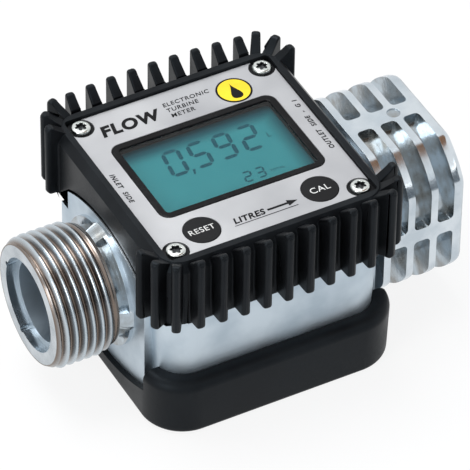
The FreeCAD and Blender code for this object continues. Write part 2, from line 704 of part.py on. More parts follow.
def battery_tray():
    """Two troughs for the cells, joined by straps that lie over the barrel."""
    low_z = BLOCK_TOP_Z + 0.1
    end_x = tray_end_x()
    outer_y = CELL_Y + CELL_R + 0.2
    inner_y = CELL_Y - CELL_R
    troughs = []
    for sign in MIRROR_SIGNS:
        y_pair = sorted((sign * inner_y, sign * outer_y))
        trough = box((-end_x, y_pair[0], low_z), (end_x, y_pair[1], low_z + TRAY_RISE))
        trough = trough.cut(along_x(CELL_R + CELL_CLEARANCE, -CELL_LENGTH / 2 - CELL_NUB,
                                    CELL_LENGTH / 2 + CELL_NUB, sign * CELL_Y, CELL_Z))
        troughs.append(trough)
    strap_low = -STRAP_WIDTH / 2
    strap_r = BARREL_R + BARREL_CLEARANCE + STRAP_THICKNESS
    strap = along_x(strap_r, strap_low, -strap_low)
    strap = strap.common(box((strap_low, -inner_y - 0.5, low_z), (-strap_low, inner_y + 0.5, 60)))
    straps = [strap.translated(Vector(sign * STRAP_X, 0, 0)) for sign in MIRROR_SIGNS]
    tray = fuse_all(troughs + straps)
    tray = tray.cut(along_x(BARREL_R + BARREL_CLEARANCE, -end_x, end_x))
    for x, y in corners_of(SCREW_OFFSET, SCREW_OFFSET):
        tray = tray.cut(upright(COLUMN_R + 0.3, 0, 60, x, y))
    for sign in MIRROR_SIGNS:
        tray = tray.cut(along_x(CELL_R + CELL_CLEARANCE, -CELL_LENGTH / 2 - CELL_NUB,
                                CELL_LENGTH / 2 + CELL_NUB, sign * CELL_Y, CELL_Z))
    return tray


def battery_contacts():
    """A flat tab at each positive end and a coned spring tab at each negative end."""
    contacts = []
    for sign in MIRROR_SIGNS:
        for end in MIRROR_SIGNS:
            face_x = end * (CELL_LENGTH / 2 + CELL_NUB)
            x_pair = sorted((face_x, face_x + end * CONTACT_THICKNESS))
            y = sign * CELL_Y
            tab = box((x_pair[0], y - CONTACT_WIDTH / 2, CELL_Z - 2.5),
                      (x_pair[1], y + CONTACT_WIDTH / 2, BOARD_TOP_Z - BOARD_THICKNESS))
            if end != sign:
                cone = Part.makeCone(2.3, 1.2, CELL_NUB, Vector(face_x, y, CELL_Z), Vector(-end, 0, 0))
                tab = tab.fuse(cone)
            contacts.append(tab)
    return Part.makeCompound(contacts)


# ================================================================ rubber shroud
def fin_tip_y(x):
    """The long sides are slightly crowned."""
    return FIN_TIP_Y - FIN_BOW * (x / FIN_FAN_X) ** 2


def fin(root, tip):
    """One upright fin that points along +Y from root to tip, centred on X = 0."""
    half = FIN_THICKNESS / 2
    root_half = half + FIN_ROOT_EXTRA / 2
    nose_y = tip - half
    outline = [Part.makeLine(Vector(-root_half, root, 0), Vector(-half, nose_y, 0)),
               Part.Arc(Vector(-half, nose_y, 0), Vector(0, tip, 0), Vector(half, nose_y, 0)).toShape(),
               Part.makeLine(Vector(half, nose_y, 0), Vector(root_half, root, 0)),
               Part.makeLine(Vector(root_half, root, 0), Vector(-root_half, root, 0))]
    column = Part.Face(Part.Wire(outline)).extrude(Vector(0, 0, FIN_TOP_Z + 5))
    round_r = FIN_TOP_ROUND
    inner_top = FIN_TOP_Z - FIN_TOP_SLOPE * (tip - root)
    shoulder = Vector(0, tip - 2 * round_r, FIN_TOP_Z - FIN_TOP_SLOPE * round_r)
    crown = Vector(0, tip - round_r * 0.6, FIN_TOP_Z - 0.1)
    face_top = Vector(0, tip, FIN_TOP_Z - round_r)
    foot = Vector(0, tip, FIN_BOTTOM_Z + round_r)
    heel = Vector(0, tip - round_r, FIN_BOTTOM_Z)
    foot_mid = Vector(0, tip - round_r * 0.3, FIN_BOTTOM_Z + round_r * 0.3)
    side = [Part.makeLine(Vector(0, root, FIN_BOTTOM_Z), Vector(0, root, inner_top)),
            Part.makeLine(Vector(0, root, inner_top), shoulder),
            Part.Arc(shoulder, crown, face_top).toShape(),
            Part.makeLine(face_top, foot),
            Part.Arc(foot, foot_mid, heel).toShape(),
            Part.makeLine(heel, Vector(0, root, FIN_BOTTOM_Z))]
    slab = Part.Face(Part.Wire(side)).extrude(Vector(2 * root_half, 0, 0))
    slab.translate(Vector(-root_half, 0, 0))
    return column.common(slab)


def side_fins():
    """Straight fins along the +Y side."""
    fins = []
    for index in range(FIN_SIDE_COUNT):
        x = (index - (FIN_SIDE_COUNT - 1) / 2) * FIN_PITCH
        fins.append(fin(SHROUD_OUTER_Y - 0.6, fin_tip_y(x)).translated(Vector(x, 0, 0)))
    return fins


def fan_fins(spread):
    """Fins that fan round the corner in the +X, +Y quarter, moved outward along X by the spread."""
    fins = []
    for angle in FIN_FAN_ANGLES:
        blade = fin(SHROUD_CORNER_R - 2.2, FIN_FAN_REACH)
        blade.rotate(ORIGIN, Z_DIR, -angle)
        fins.append(blade.translated(Vector(FIN_FAN_X + spread, FIN_FAN_Y - spread, 0)))
    return fins


def shroud_shell():
    outer = rounded_block(SHROUD_OUTER_X, SHROUD_OUTER_Y, SHROUD_CORNER_R, SHROUD_BOTTOM_Z, RIM_CHAMFER_Z)
    rim_half = PLATE_SIZE / 2 + RIM_GAP + RIM_FLAT
    low = rounded_rectangle(SHROUD_OUTER_X, SHROUD_OUTER_Y, SHROUD_CORNER_R, RIM_CHAMFER_Z)
    high = rounded_rectangle(rim_half, rim_half + SHROUD_EXTRA_Y, SHROUD_CORNER_R - 1.5, RIM_TOP_Z)
    rim = Part.makeLoft([low, high], True, True)
    return outer.fuse(rim).removeSplitter()


def finned_shroud():
    """Rubber cover that hugs the display housing, with cooling-style fins all round."""
    rear = fan_fins(0) + side_fins()
    front = [mirrored_y(blade) for blade in fan_fins(FRONT_FAN_SPREAD) + side_fins()]
    fins = rear + front + [mirrored_x(blade) for blade in fan_fins(0)]
    fins += [mirrored_x(mirrored_y(blade)) for blade in fan_fins(FRONT_FAN_SPREAD)]
    shroud = shroud_shell().multiFuse(fins)
    pocket = rounded_block(SHROUD_INNER, SHROUD_INNER, HOUSING_CORNER_R + SHROUD_CLEARANCE,
                           0, HOUSING_TOP_Z + SHROUD_CLEARANCE)
    opening = PLATE_SIZE / 2 + RIM_GAP
    mouth = rounded_block(opening, opening, 1.0, 0, RIM_TOP_Z + 10)
    shroud = shroud.cut(pocket).cut(mouth)
    arch = arch_under(-SHROUD_OUTER_X - 6, SHROUD_OUTER_X + 6, END_OPENING_HALF_Y, AXIS_Z,
                      END_OPENING_RISE, PAD_ARCH_R + END_OPENING_RISE - PAD_ARCH_RISE)
    return shroud.cut(arch).removeSplitter()


# ================================================================ base boot
def softened(solid, low_z, high_z, foot_r, lip_r):
    """Round the bottom and the top edges of an upright solid."""
    foot = [edge for edge in solid.Edges if edge.BoundBox.ZMax < low_z + 0.01]
    solid = solid.makeFillet(foot_r, foot)
    lip = [edge for edge in solid.Edges if edge.BoundBox.ZMin > high_z - 0.01]
    return solid.makeFillet(lip_r, lip)


def boot_outside():
    low = rounded_rectangle(BOOT_HALF_X - BOOT_DRAFT, BOOT_HALF_Y - BOOT_DRAFT, BOOT_CORNER_R, 0)
    high = rounded_rectangle(BOOT_HALF_X, BOOT_HALF_Y, BOOT_CORNER_R, BOOT_TOP_Z)
    outside = Part.makeLoft([low, high], True, True)
    return softened(outside, 0, BOOT_TOP_Z, BOOT_FOOT_R, BOOT_LIP_R)


def base_boot():
    """Rubber cup round the foot of the block, cut down in an arc under both pipe ends."""
    clear = BOOT_CLEARANCE
    block = drafted_block(BLOCK_HALF_X + clear, BLOCK_HALF_Y + clear, BLOCK_CORNER_R + clear,
                          BLOCK_BOTTOM_Z, BLOCK_TOP_Z, BLOCK_DRAFT)
    pads = box((-PAD_X - clear, -PAD_HALF_Y - clear, BLOCK_BOTTOM_Z),
               (PAD_X + clear, PAD_HALF_Y + clear, BLOCK_TOP_Z))
    low_cut = AXIS_Z - BOOT_END_DROP
    sweep = along_x(BOOT_END_R, -BOOT_END_R, BOOT_END_R, 0, low_cut + BOOT_END_R)
    slot = box((-BOOT_END_R, -BOOT_END_HALF_Y, 0), (BOOT_END_R, BOOT_END_HALF_Y, BLOCK_TOP_Z))
    notch = sweep.common(slot)
    recess = rounded_block(FOOT_RECESS_HALF, FOOT_RECESS_HALF, 4, -1, FOOT_RECESS)
    return boot_outside().cut([block, pads, notch, recess])


# ================================================================ build
def all_parts():
    return {
        "meter_body": meter_body(),
        "inlet_straightener": straightener(),
        "outlet_straightener": outlet_side(straightener()),
        "inlet_bearing": bearing(),
        "outlet_bearing": outlet_side(bearing()),
        "turbine_rotor": turbine_rotor(),
        "rotor_shaft": rotor_shaft(),
        "rotor_magnets": Part.makeCompound(magnet_solids()),
        "retaining_ring": retaining_ring(),
        "housing_gasket": housing_gasket(),
        "display_housing": display_housing(),
        "circuit_board": circuit_board(),
        "board_screws": board_screws(),
        "pulse_sensor": pulse_sensor(),
        "tact_switches": tact_switches(),
        "connector_strips": connector_strips(),
        "lcd_holder": lcd_holder(),
        "lcd_module": lcd_module(),
        "window_frame": window_frame(),
        "display_window": display_window(),
        "face_plate": face_plate(),
        "reset_button": push_button(-1),
        "cal_button": push_button(1),
        "housing_screws": housing_screws(),
        "battery_tray": battery_tray(),
        "front_battery": battery(-1),
        "rear_battery": battery(1),
        "battery_contacts": battery_contacts(),
        "finned_shroud": finned_shroud(),
        "base_boot": base_boot(),
    }


os.makedirs("parts", exist_ok=True)
for name, shape in all_parts().items():
    shape.exportStep(os.path.join("parts", name + ".step"))
    print(name, "solids", len(shape.Solids), "valid", shape.isValid(), "volume", round(shape.Volume, 1))
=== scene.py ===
# %% [markdown]
# # A turbine flow meter
# The object is a small in-line meter for one-inch pipe. It has a die-cast aluminium body with a
# cut thread at each end, a display head under a finned rubber cover, and a rubber boot round its
# foot. The solids are already there as a fixed frame, at real size. What is left to make is what
# the eye reads: cut threads, softened edges, screw drives, the display and every surface finish.
# We start by loading that frame.

# %% Load the frame
import math

import bmesh
import bpy
import numpy as np
from mathutils import Matrix, Vector


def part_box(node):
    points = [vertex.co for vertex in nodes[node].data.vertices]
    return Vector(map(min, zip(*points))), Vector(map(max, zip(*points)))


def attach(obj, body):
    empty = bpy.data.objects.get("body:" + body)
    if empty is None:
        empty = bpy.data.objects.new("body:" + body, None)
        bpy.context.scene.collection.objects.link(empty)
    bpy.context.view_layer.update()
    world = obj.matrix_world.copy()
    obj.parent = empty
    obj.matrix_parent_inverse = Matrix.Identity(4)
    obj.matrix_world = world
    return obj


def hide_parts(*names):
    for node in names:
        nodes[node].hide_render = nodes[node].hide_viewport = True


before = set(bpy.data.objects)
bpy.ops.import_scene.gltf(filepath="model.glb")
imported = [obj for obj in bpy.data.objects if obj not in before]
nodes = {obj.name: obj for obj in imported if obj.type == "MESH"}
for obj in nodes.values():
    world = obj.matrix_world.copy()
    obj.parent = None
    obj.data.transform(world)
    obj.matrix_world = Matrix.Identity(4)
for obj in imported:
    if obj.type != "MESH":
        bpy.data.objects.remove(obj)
scene = bpy.context.scene
MM = 0.001
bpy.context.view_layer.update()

# %% [markdown]
# ## Where things are
# A few heights and one axis place everything that is added later. The pipe's axis runs along X at
# the height of the turbine's bearings. The face plate, the buttons and the display carry
# lettering on their tops. All are read from the frame's own boxes, so that a change of size there
# moves the new pieces too.

# %% Datum heights
def span(name):
    """Lowest and highest corner of a frame node, in millimetres."""
    low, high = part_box(name)
    return np.array(low) / MM, np.array(high) / MM


AXIS = float(np.mean(np.array(span("inlet_bearing"))[:, 2]))
PLATE_TOP = float(span("face_plate")[1][2])
BUTTON_TOP = float(span("reset_button")[1][2])
GLASS_TOP = float(span("lcd_module")[1][2])
INLET_END, OUTLET_END = (float(span("meter_body")[side][0]) for side in (0, 1))
print("axis", round(AXIS, 2), "plate", round(PLATE_TOP, 2), "button", round(BUTTON_TOP, 2),
      "display glass", round(GLASS_TOP, 2), "ends", round(INLET_END, 1), round(OUTLET_END, 1))

# %% [markdown]
# ## Camera
# A long lens from a little over a metre away keeps the meter almost free of perspective, as in a
# catalogue picture. The camera is built from three angles and a distance: turn round the upright
# axis, height above the horizon, and a small roll. That is easier to reason about than nine
# numbers of a matrix, and it says at once from where the meter is looked at.

# %% Camera
AZIMUTH, ELEVATION, ROLL = (math.radians(angle) for angle in (-28.63, 42.05, 0.84))
DISTANCE = 1200 * MM
ASIDE, ABOVE = 3.91, 0.90                  # the lens's axis passes this far from the pipe's middle
back = Vector((math.sin(AZIMUTH) * math.cos(ELEVATION),
               -math.cos(AZIMUTH) * math.cos(ELEVATION), math.sin(ELEVATION)))
level = Vector((math.cos(AZIMUTH), math.sin(AZIMUTH), 0))
upward = back.cross(level)
right = math.cos(ROLL) * level + math.sin(ROLL) * upward
upward = -math.sin(ROLL) * level + math.cos(ROLL) * upward
eye = Vector((0, 0, AXIS * MM)) + ASIDE * MM * right + ABOVE * MM * upward + DISTANCE * back
camera = bpy.data.objects.new("catalogue_camera", bpy.data.cameras.new("catalogue_camera"))
camera.data.sensor_width = 36
camera.data.lens = 382.1
camera.data.clip_end = 20
camera.matrix_world = Matrix([[right[i], upward[i], back[i], eye[i]] for i in range(3)]
                             + [[0, 0, 0, 1]])
scene.collection.objects.link(camera)
scene.camera = camera
print("eye in mm:", [round(value / MM) for value in eye])

# %% [markdown]
# ## Studio
# A pale floor, a wide soft box overhead and two gentler ones from the sides. Metal and glass
# show whatever stands around them, so the surroundings are white for rays that reach the lens
# straight or by a reflection, and a quieter grey for the light that falls on the meter. The
# floor adds a little of its own white to those same rays, and keeps the meter's shadow.

# %% Colours and shader nodes
def linear(code):
    """An sRGB hex code as a linear colour: each channel undone from the screen's curve."""
    values = [int(code[start:start + 2], 16) / 255 for start in (1, 3, 5)]
    return [v / 12.92 if v <= 0.04045 else ((v + 0.055) / 1.055) ** 2.4 for v in values] + [1.0]


def add(tree, kind, inputs=None, **settings):
    """Add one shader node: set its properties, then give each socket a value or a link."""
    made = tree.nodes.new(kind)
    for key, value in settings.items():
        setattr(made, key, value)
    for key, value in (inputs or {}).items():
        if isinstance(value, bpy.types.NodeSocket):
            tree.links.new(value, made.inputs[key])
        else:
            made.inputs[key].default_value = value
    return made


# %% World and floor
def seen_rays(tree):
    """1 for rays that reach the lens straight, by a mirror or through glass, 0 for the rest."""
    path = add(tree, "ShaderNodeLightPath").outputs
    some = add(tree, "ShaderNodeMath", {0: path["Is Camera Ray"], 1: path["Is Glossy Ray"]},
               operation="MAXIMUM")
    return add(tree, "ShaderNodeMath", {0: some.outputs[0], 1: path["Is Transmission Ray"]},
               operation="MAXIMUM").outputs[0]


world = bpy.data.worlds.new("studio")
scene.world = world
world.use_nodes = True
world.node_tree.nodes.clear()
lit = add(world.node_tree, "ShaderNodeMixRGB", {0: seen_rays(world.node_tree),
                                                1: linear("#b4b8be"), 2: linear("#ffffff")})
sky = add(world.node_tree, "ShaderNodeBackground", {0: lit.outputs[0], 1: 1.0})
add(world.node_tree, "ShaderNodeOutputWorld", {0: sky.outputs[0]})

floor_paint = bpy.data.materials.new("matt_studio_floor")
floor_paint.use_nodes = True
tree = floor_paint.node_tree
tree.nodes.clear()
own_white = add(tree, "ShaderNodeMath", {0: seen_rays(tree), 1: 0.86}, operation="MULTIPLY")
matt = add(tree, "ShaderNodeBsdfDiffuse", {0: linear("#f2f2f2")})
glow = add(tree, "ShaderNodeEmission", {0: linear("#ffffff"), 1: 1.0})
floor_mix = add(tree, "ShaderNodeMixShader", {0: own_white.outputs[0], 1: matt.outputs[0],
                                              2: glow.outputs[0]})
add(tree, "ShaderNodeOutputMaterial", {0: floor_mix.outputs[0]})
floor_mesh = bpy.data.meshes.new("studio_floor")
floor_mesh.from_pydata([(-3, -3, 0), (3, -3, 0), (3, 3, 0), (-3, 3, 0)], [], [(0, 1, 2, 3)])
floor_mesh.materials.append(floor_paint)
floor = bpy.data.objects.new("studio_floor", floor_mesh)
floor.location.z = -0.05 * MM
scene.collection.objects.link(floor)


# %% Lamps
def soft_box(name, place, target, width, height, watts):
    """A rectangular lamp at a place, turned to face a target, sizes in metres."""
    lamp = bpy.data.objects.new(name, bpy.data.lights.new(name, "AREA"))
    lamp.data.shape = "RECTANGLE"
    lamp.data.size, lamp.data.size_y = width, height
    lamp.data.energy = watts
    lamp.location = place
    lamp.rotation_euler = (Vector(target) - Vector(place)).to_track_quat("-Z", "Y").to_euler()
    scene.collection.objects.link(lamp)
    return lamp


middle = (0, 0, 30 * MM)
soft_box("overhead_box", (-0.10, 0.25, 0.75), middle, 0.60, 0.45, 5.0)
soft_box("left_box", (-0.75, -0.35, 0.40), middle, 0.35, 0.50, 3.0)
soft_box("right_box", (0.55, -0.75, 0.35), middle, 0.50, 0.35, 2.0)
scene.view_settings.view_transform = "Standard"

# %% [markdown]
# ### Flags
# Bright metal in an all-white room looks like plaster. So dark and coloured cards stand beside
# the set, and the metal draws its own form with their reflections. Two cards are enough here: a
# slate one low in front and a brown one overhead. They are part of the stage, and cast neither
# light nor shadow.

# %% Flags
def card(name, code, centre, width, height):
    """A matt card that faces the meter: a rectangle across the line from its centre to the axis."""
    paint = bpy.data.materials.new(name + "_card")
    paint.use_nodes = True
    paint.node_tree.nodes.clear()
    matt_card = add(paint.node_tree, "ShaderNodeBsdfDiffuse", {0: linear(code)})
    add(paint.node_tree, "ShaderNodeOutputMaterial", {0: matt_card.outputs[0]})
    facing = (Vector(middle) - Vector(centre)).to_track_quat("Z", "Y").to_matrix()
    corners = np.array([(-1, -1, 0), (1, -1, 0), (1, 1, 0), (-1, 1, 0)])
    corners = corners * (width / 2, height / 2, 1)
    mesh = bpy.data.meshes.new(name)
    mesh.from_pydata((corners @ np.array(facing).T + np.array(centre)).tolist(), [], [(0, 1, 2, 3)])
    mesh.materials.append(paint)
    flag = bpy.data.objects.new(name, mesh)
    flag.visible_camera = False
    flag.visible_diffuse = False
    flag.visible_shadow = False
    scene.collection.objects.link(flag)


card("slate_flag", "#3a4852", (0.26, -0.66, 0.22), 0.80, 0.34)
card("brown_flag", "#8a6347", (0.26, -0.22, 0.62), 0.64, 0.26)
print("lamps 3, flags 2")

# %% [markdown]
# ## Surface finishes
# Nearly every surface of a made thing has three layers of variety. Patches a few millimetres
# across differ a little in colour and gloss, from handling and casting. A finer grain, set by the
# tool that made the surface, gives it relief. And that grain has a direction: none on a moulding,
# one axis on a brushed face, rings on a turned one. So one recipe serves, with real sizes.

# %% Recipe for a worked surface
def from_axis(tree, place):
    """The distance from the pipe's axis, as a socket."""
    moved = add(tree, "ShaderNodeVectorMath", {0: place, 1: (0, 0, -AXIS * MM)}, operation="ADD")
    across = add(tree, "ShaderNodeVectorMath", {0: moved.outputs[0], 1: (0, 1, 1)},
                 operation="MULTIPLY")
    return add(tree, "ShaderNodeVectorMath", {0: across.outputs[0]},
               operation="LENGTH").outputs["Value"]


def finish(name, fresh, aged, metallic, smooth, rough, patch, grain, relief, drawn=(1, 1, 1),
           turned=False, **sockets):
    """Noise patches mix the two colours and the two roughness values; noise of the grain's size in
    millimetres, squeezed by the drawn factors or wrapped round the pipe axis, raises the relief."""
    material = bpy.data.materials.new(name)
    material.use_nodes = True
    tree = material.node_tree
    tree.nodes.clear()
    place = add(tree, "ShaderNodeTexCoord").outputs["Object"]
    patches = add(tree, "ShaderNodeTexNoise", {"Vector": place, "Scale": 1 / (patch * MM),
                                               "Detail": 3.0})
    share = add(tree, "ShaderNodeMapRange", {"Value": patches.outputs["Fac"], 1: 0.36, 2: 0.64})
    colour = add(tree, "ShaderNodeMixRGB", {0: share.outputs[0], 1: linear(fresh), 2: linear(aged)})
    if turned:
        radius = from_axis(tree, place)
        along = add(tree, "ShaderNodeSeparateXYZ", {0: place})
        path = add(tree, "ShaderNodeCombineXYZ", {0: along.outputs[0], 1: radius})
    else:
        path = add(tree, "ShaderNodeVectorMath", {0: place, 1: drawn}, operation="MULTIPLY")
    grains = add(tree, "ShaderNodeTexNoise", {"Vector": path.outputs[0], "Scale": 1 / (grain * MM),
                                              "Detail": 2.0})
    both = add(tree, "ShaderNodeMath", {0: share.outputs[0], 1: grains.outputs["Fac"]},
               operation="MULTIPLY")
    gloss = add(tree, "ShaderNodeMapRange", {"Value": both.outputs[0], 1: 0.0, 2: 0.6, 3: smooth,
                                             4: rough})
    bump = add(tree, "ShaderNodeBump", {"Height": grains.outputs["Fac"], "Distance": relief * MM,
                                        "Strength": 1.0})
    shader = add(tree, "ShaderNodeBsdfPrincipled",
                 {"Base Color": colour.outputs[0], "Metallic": metallic,
                  "Roughness": gloss.outputs[0], "Normal": bump.outputs[0], **sockets})
    add(tree, "ShaderNodeOutputMaterial", {0: shader.outputs[0]})
    return material


def wear(name, material):
    """Give a frame node its finish."""
    mesh = nodes[name].data
    mesh.materials.clear()
    mesh.materials.append(material)


# %% [markdown]
# ### Metals
# The body is die-cast aluminium, tumbled bright: its surface is not quite flat, so reflections
# swim. The block's faces are milled and brushed lengthwise. Threads and pipe ends are turned on a
# lathe, which leaves fine rings. Screws are zinc-plated steel, the shaft is ground, the spring
# ring is phosphated, and the battery contacts are nickel-plated.

# %% Metals
cast_aluminium = finish("die_cast_aluminium_bright", "#d2dae0", "#bcc6ce", 1.0, 0.15, 0.27,
                        8, 2.4, 0.022)
# The pockets' darker grey is painted shade: the collar's pockets and the slot by the neck get it in
# place of the bright cast finish.
pocket_shade_aluminium = finish("die_cast_pocket_painted_shade", "#b0bcc5", "#929493", 1.0, 0.14, 0.28,
                          5, 2.0, 0.04)
milled_aluminium = finish("milled_aluminium_brushed", "#c3cfd8", "#aebcc7", 1.0, 0.38, 0.52,
                          12, 0.42, 0.022, drawn=(0.02, 1, 1))
thread_aluminium = finish("cut_thread_aluminium", "#b6b7b8", "#979491", 1.0, 0.22, 0.34,
                          5, 0.2, 0.008, turned=True)
turned_aluminium = finish("turned_aluminium", "#c3cacf", "#a8b0b6", 1.0, 0.18, 0.30, 7, 0.2, 0.006,
                          turned=True)
zinc_steel = finish("zinc_plated_steel", "#e3e6e4", "#b9c0bd", 1.0, 0.14, 0.30, 1.5, 0.3, 0.004)
ground_steel = finish("ground_steel", "#d6d8da", "#c0c4c8", 1.0, 0.10, 0.22, 4, 0.1, 0.002,
                      turned=True)
# Besides the spring ring, this dark steel serves as painted shade on the walls of the screws' drive
# recesses.
spring_steel_and_recess_shade = finish("phosphated_steel_and_recess_shade", "#4a4c4e", "#36383a", 0.9, 0.35, 0.55,
                      3, 0.3, 0.004)
nickel_plate = finish("nickel_plated_strip", "#d8d4c8", "#b8b4a8", 1.0, 0.18, 0.32, 4, 0.4, 0.004)
magnet_metal = finish("nickel_coated_magnet", "#a9abac", "#8b8d90", 1.0, 0.22, 0.4, 2, 0.2, 0.003)
print("metals 10")

# %% [markdown]
# ### Rubbers and plastics
# The cover and the boot are moulded nitrile rubber: almost black, with a bluish gloss where the
# mould was polished and a dull bloom where hands have been. Rubber reflects less than glass, so
# its specular level is low and slightly blue. The housing, window frame and buttons are ABS, the
# turbine set is acetal, which is waxy, and the tray is plain moulded polypropylene. The bushes'
# sintered bronze closes the list.

# %% Rubbers and plastics
BLUISH = linear("#b9cad8")
rubber = finish("moulded_nitrile_rubber", "#101113", "#17191b", 0.0, 0.32, 0.48, 11, 0.45, 0.012,
                **{"Specular IOR Level": 0.16, "Specular Tint": BLUISH})
boot_rubber = finish("moulded_rubber_boot", "#0f1012", "#151719", 0.0, 0.36, 0.52, 14, 0.6, 0.012,
                     **{"Specular IOR Level": 0.17, "Specular Tint": BLUISH})
gasket_foam = finish("foam_rubber_gasket", "#202225", "#2a2c2f", 0.0, 0.7, 0.9, 3, 0.3, 0.03)
gloss_abs = finish("black_abs_gloss", "#0b0b0d", "#111214", 0.0, 0.2, 0.32, 6, 0.8, 0.003,
                   **{"Specular IOR Level": 0.12})
matt_abs = finish("black_abs_spark_eroded", "#101012", "#161719", 0.0, 0.42, 0.58, 5, 0.25, 0.008,
                  **{"Specular IOR Level": 0.12})
grey_pp = finish("grey_polypropylene", "#5f6468", "#52575b", 0.0, 0.4, 0.55, 8, 0.5, 0.006)
white_acetal = finish("white_acetal", "#e6e4dc", "#d6d3c8", 0.0, 0.28, 0.42, 6, 0.4, 0.004)
grey_acetal = finish("grey_acetal", "#7d8388", "#6e7479", 0.0, 0.3, 0.45, 6, 0.4, 0.004)
bronze = finish("sintered_bronze", "#a9794a", "#8a6039", 1.0, 0.34, 0.5, 2, 0.15, 0.008)
print("rubbers and plastics 9")

# %% [markdown]
# ### Finishes with a pattern
# Five pieces carry a regular pattern: copper tracks under green lacquer on the circuit board,
# painted shade in the roots of the inlet thread, carbon layers in the rubber strips that feed the
# display, the two-colour film round each cell, and the display's own glass. Each pattern replaces
# the plain colour of the recipe's shader.

# %% Patterned finishes
def repaint(material, build):
    """Put another pattern on a finish: build takes the tree and object coordinates and gives the
    socket of a colour."""
    tree = material.node_tree
    shader = next(node for node in tree.nodes if node.type == "BSDF_PRINCIPLED")
    place = next(node for node in tree.nodes if node.type == "TEX_COORD").outputs["Object"]
    tree.links.new(build(tree, place), shader.inputs["Base Color"])
    return material


def tracks(tree, place):
    """Copper tracks 0.6 mm wide on a 2.5 mm grid, as the joints of a wall of long bricks."""
    wall = add(tree, "ShaderNodeTexBrick",
               {"Vector": place, "Color1": linear("#1d5a38"), "Color2": linear("#215f3c"),
                "Mortar": linear("#3f8a58"), "Scale": 1.0, "Mortar Size": 0.3 * MM,
                "Brick Width": 7.5 * MM, "Row Height": 2.5 * MM})
    return wall.outputs["Color"]


def carbon_layers(tree, place):
    """Dark and pale layers that alternate every 0.5 mm along X, coarser than life so they show."""
    bands = add(tree, "ShaderNodeTexWave", {"Vector": place, "Scale": 1 / (3.2 * MM)})
    return add(tree, "ShaderNodeMixRGB", {0: bands.outputs["Fac"], 1: linear("#1c1c1e"),
                                          2: linear("#8f8a84")}).outputs[0]


def cell_film(tree, place):
    """A printed film: dark over the body, copper-coloured over the last 12 mm at the plus end."""
    along = add(tree, "ShaderNodeSeparateXYZ", {0: place})
    plus = add(tree, "ShaderNodeMath", {0: along.outputs[0], 1: 9 * MM}, operation="GREATER_THAN")
    return add(tree, "ShaderNodeMixRGB", {0: plus.outputs[0], 1: linear("#23262b"),
                                          2: linear("#b5793f")}).outputs[0]


# The inlet thread's roots carry painted shade: a darker brown-grey below these radii, in
# millimetres from the axis.
SHADED_TO, CREST_FROM = 15.3, 16.4


def painted_root_shade(tree, place):
    """Bare metal on the inlet thread's crests and painted shade, a darker brown-grey, in its roots,
    by the radius.
    """
    crest = add(tree, "ShaderNodeMapRange", {"Value": from_axis(tree, place), 1: SHADED_TO * MM,
                                             2: CREST_FROM * MM})
    return add(tree, "ShaderNodeMixRGB", {0: crest.outputs[0], 1: linear("#7a6f67"),
                                          2: linear("#b9c3ca")}).outputs[0]


thread_aluminium = repaint(thread_aluminium, painted_root_shade)
circuit_lacquer = repaint(finish("green_solder_lacquer", "#1d5a38", "#215f3c", 0.0, 0.2, 0.34,
                                 5, 0.8, 0.01), tracks)
zebra_rubber = repaint(finish("layered_contact_rubber", "#3c3c3e", "#4c4c4e", 0.0, 0.5, 0.65,
                              2, 0.3, 0.004), carbon_layers)
cell_wrap = repaint(finish("printed_cell_film", "#23262b", "#2b2e33", 0.1, 0.16, 0.28,
                           7, 1.2, 0.003), cell_film)
print("patterned finishes 4")

# %% [markdown]
# ### Face plate
# The plate is a thin aluminium label, anodised satin and brushed along X. It is brighter than
# paint and duller than the castings: part of the light comes back as from paper. A half metallic
# shader with a middling roughness gives that, and its fine brush lines show only at a glance.

# %% Face plate finish
satin_plate = finish("satin_anodised_label", "#a3a4a7", "#b3b4b6", 0.45, 0.30, 0.42,
                     26, 0.22, 0.002, drawn=(0.02, 1, 1))

# %% [markdown]
# ### Display glass and window
# The display is a teal reflective liquid-crystal cell. Its viewing area is a little darker along
# the two far edges, where the frame around it keeps light away. The window over it is clear
# acrylic. A thin clear sheet hardly bends a ray, so a transparent shader with a little gloss from
# Fresnel is enough, and it lets the lamps reach the display underneath. The gloss is only on
# outer faces: from inside, Fresnel would see a full mirror, and the window would turn milky.

# %% Display glass
def viewing_area(tree, place):
    """Teal, darkened where y goes from 8 to 12.5 mm at the far edge and x from 15.5 to 20.5 mm at
    the right."""
    where = add(tree, "ShaderNodeSeparateXYZ", {0: place})
    far = add(tree, "ShaderNodeMapRange", {"Value": where.outputs[1], 1: 8.0 * MM, 2: 12.5 * MM},
              interpolation_type="SMOOTHSTEP")
    side = add(tree, "ShaderNodeMapRange", {"Value": where.outputs[0], 1: 15.5 * MM,
                                            2: 20.5 * MM, 4: 0.8},
               interpolation_type="SMOOTHSTEP")
    dark = add(tree, "ShaderNodeMath", {0: far.outputs[0], 1: side.outputs[0]}, operation="MAXIMUM")
    mottle = add(tree, "ShaderNodeTexNoise", {"Vector": place, "Scale": 1 / (7 * MM),
                                              "Detail": 2.0})
    teal = add(tree, "ShaderNodeMixRGB", {0: mottle.outputs["Fac"], 1: linear("#41909a"),
                                          2: linear("#52a0a8")})
    return add(tree, "ShaderNodeMixRGB", {0: dark.outputs[0], 1: teal.outputs[0],
                                          2: linear("#245866")}).outputs[0]


display_glass = repaint(finish("teal_liquid_crystal_cell", "#41909a", "#52a0a8", 0.0, 0.16, 0.28,
                               12, 1.5, 0.002, **{"Specular IOR Level": 0.06}), viewing_area)

